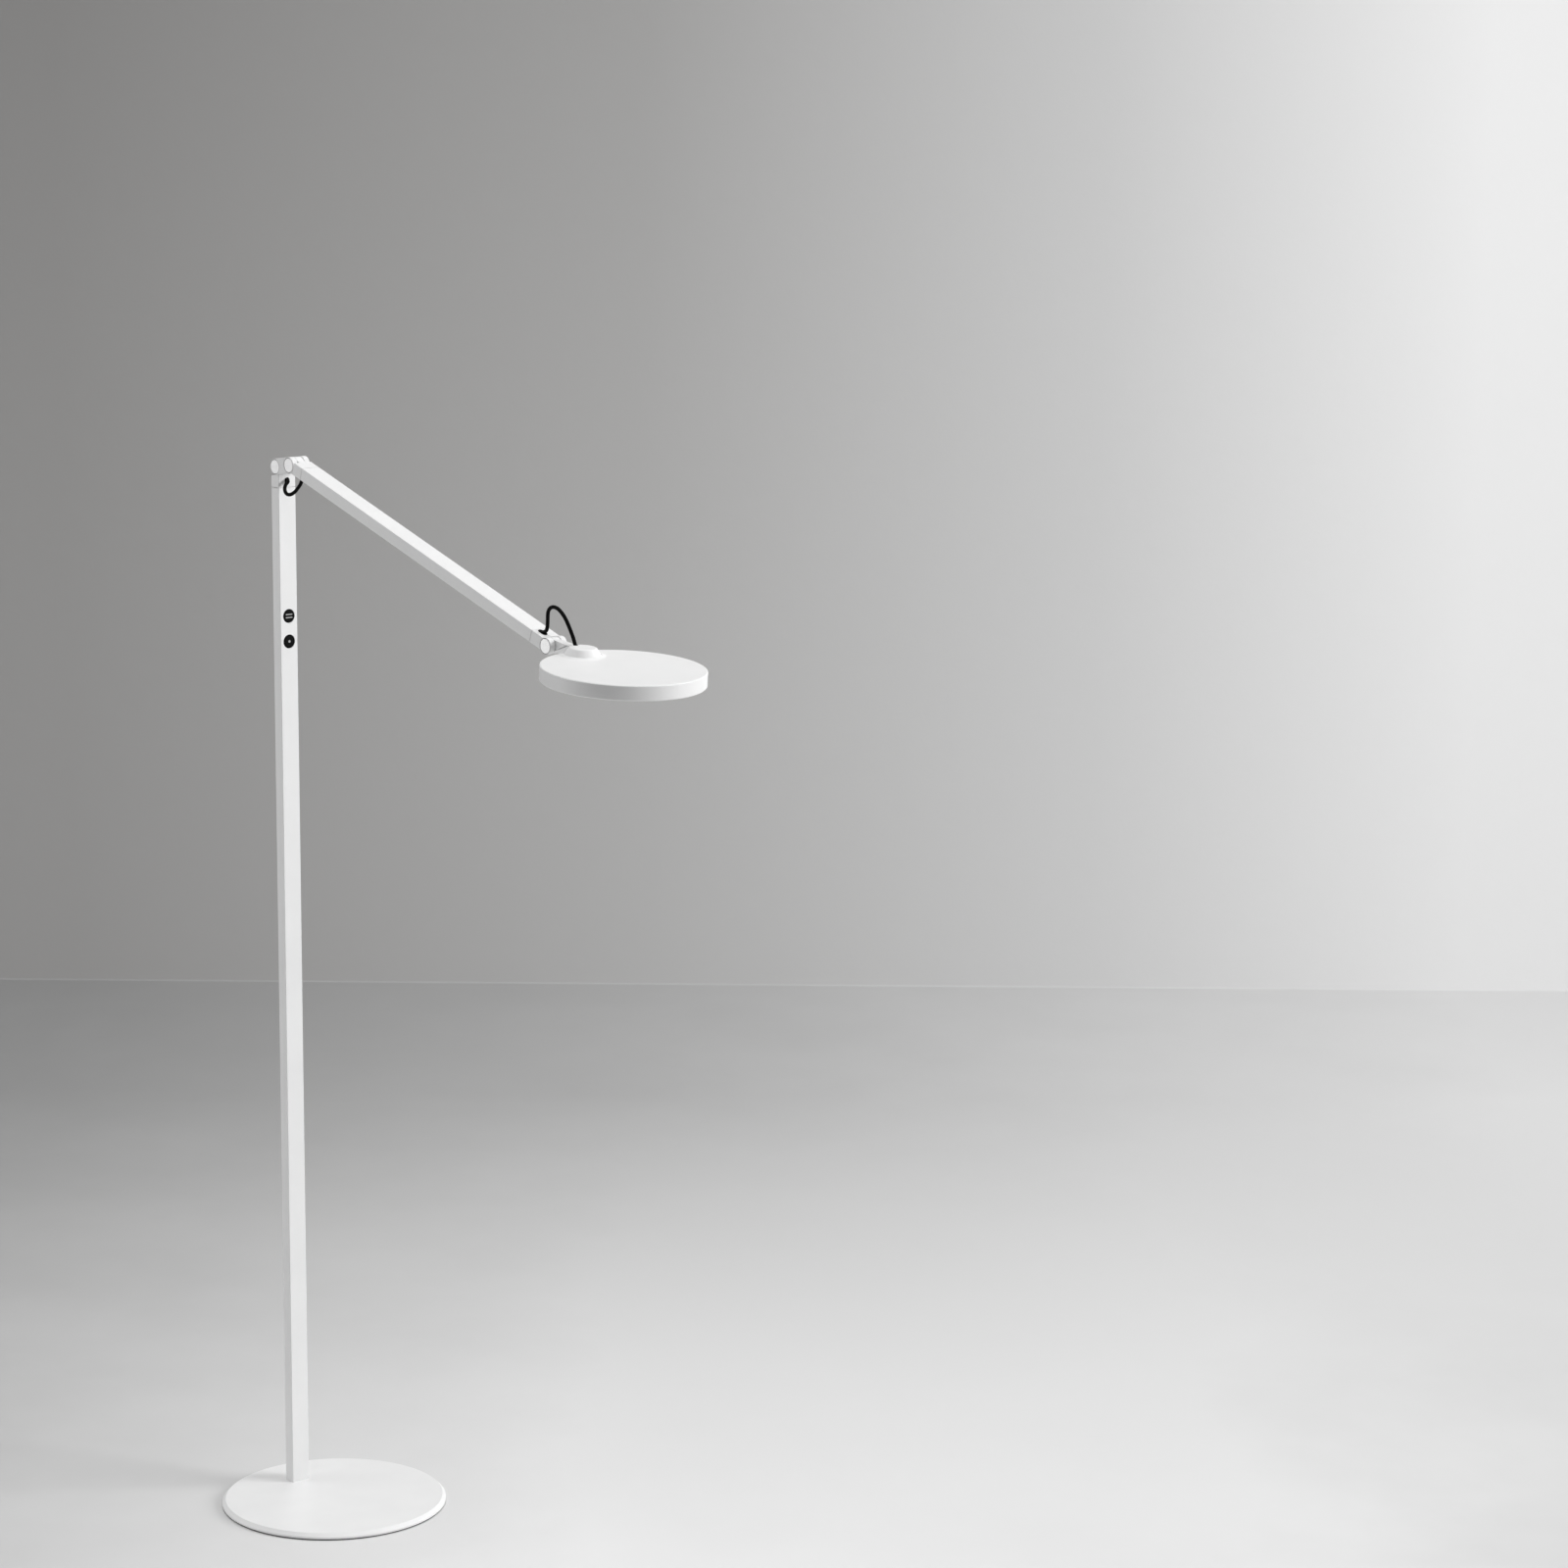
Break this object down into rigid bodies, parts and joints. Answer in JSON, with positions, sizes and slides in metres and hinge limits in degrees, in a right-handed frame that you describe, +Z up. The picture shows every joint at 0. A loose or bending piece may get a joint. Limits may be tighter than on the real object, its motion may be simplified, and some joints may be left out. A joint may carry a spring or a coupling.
{
  "type": "adjustable arm floor lamp",
  "caption": "Floor lamp with a round base, a flat rectangular post, a jointed elbow, a sloping arm and a flat round tilting head with an opal diffuser.",
  "frame": {"origin": "centre of the round base, on the floor", "axes": "+Z up, +X the way the buttons face and the arm reaches"},
  "size_m": [0.7122, 0.25, 1.1746],
  "materials": {
    "white_coat": "fine satin white powder coat",
    "base_paint": "fine satin white powder coat",
    "bare_alloy": "as cut",
    "steel": "plain steel",
    "black_steel": "black oxide",
    "washer": "matt natural plastic",
    "cap_metal": "turned satin metal",
    "pad_rubber": "matt",
    "black_rubber": "matt",
    "cable": "satin black sheath",
    "inner_plastic": "matt",
    "black_plastic": "matt",
    "button_plastic": "fine satin black",
    "mark": "printed pale grey",
    "board": "white solder mask",
    "copper": "varnished wire",
    "light_chip": "clear resin over phosphor",
    "opal": "opal satin",
    "frosted_border": "frosted"
  },
  "bodies": {
    "stand": {"base_pad": "pad_rubber", "base_plate": "base_paint", "base_bolts": "steel", "post_foot": "bare_alloy", "post_tube": "white_coat", "post_head": "white_coat", "post_head_screws": "steel", "post_grommet": "black_rubber", "inlet_bush": "black_rubber", "switch_carrier": "inner_plastic", "control_board": "board", "tact_switches": "black_plastic", "wire_terminals": "inner_plastic", "driver_coil": "copper", "lower_post_cable": "cable", "upper_post_cable": "cable", "elbow_cable_post_side": "cable"},
    "upper_key": {"upper_button": "button_plastic", "upper_button_mark": "mark"},
    "lower_key": {"lower_button": "button_plastic", "lower_button_mark": "mark"},
    "link": {"elbow_link": "white_coat", "elbow_axles": "steel", "elbow_nuts": "steel", "elbow_washers": "washer", "elbow_caps": "cap_metal", "elbow_cap_rings": "black_rubber"},
    "arm": {"arm_heel": "white_coat", "heel_grommet": "black_rubber", "arm_tube": "white_coat", "arm_tip": "white_coat", "tip_grommet": "black_rubber", "head_axle": "steel", "head_nut": "steel", "head_washers": "washer", "head_caps": "cap_metal", "head_cap_rings": "black_rubber", "tip_set_screw": "black_steel", "arm_cable": "cable", "elbow_cable_arm_side": "cable", "head_cable_arm_side": "cable"},
    "neck_piece": {"neck": "white_coat", "neck_clip": "steel"},
    "head": {"hub_cover": "white_coat", "hub_grommet": "black_rubber", "hub_screws": "steel", "head_housing": "white_coat", "heat_spreader": "bare_alloy", "led_board": "board", "led_chips": "light_chip", "board_screws": "steel", "diffuser": "opal", "trim_ring": "frosted_border", "head_cable_hub_side": "cable"}
  },
  "joints": [
    {"name": "link_pivot", "type": "hinge", "parent": "stand", "child": "link", "pos_m": [-0.07, 0, 1.162], "axis": [0, -1, 0], "range_deg": [0, 35], "deforming": ["elbow_cable_post_side"]},
    {"name": "arm_pivot", "type": "hinge", "parent": "link", "child": "arm", "pos_m": [-0.04488, 0, 1.16575], "axis": [0, -1, 0], "range_deg": [-27, 80], "deforming": ["elbow_cable_arm_side"]},
    {"name": "head_tilt", "type": "hinge", "parent": "arm", "child": "neck_piece", "pos_m": [0.39281, 0, 1.021], "axis": [0, -1, 0], "range_deg": [-90, 45], "deforming": ["head_cable_arm_side"]},
    {"name": "head_roll", "type": "hinge", "parent": "neck_piece", "child": "head", "pos_m": [0.41894, 0, 1.02063], "axis": [0.9977, 0, -0.068], "range_deg": [-60, 60], "deforming": ["head_cable_hub_side"]},
    {"name": "upper_press", "type": "slide", "parent": "stand", "child": "upper_key", "axis": [-1, 0, 0], "range_m": [0, 0.0008], "stiffness_N_per_m": 1200, "springref_m": -0.0006},
    {"name": "lower_press", "type": "slide", "parent": "stand", "child": "lower_key", "axis": [-1, 0, 0], "range_m": [0, 0.0008], "stiffness_N_per_m": 1200, "springref_m": -0.0006}
  ]
}
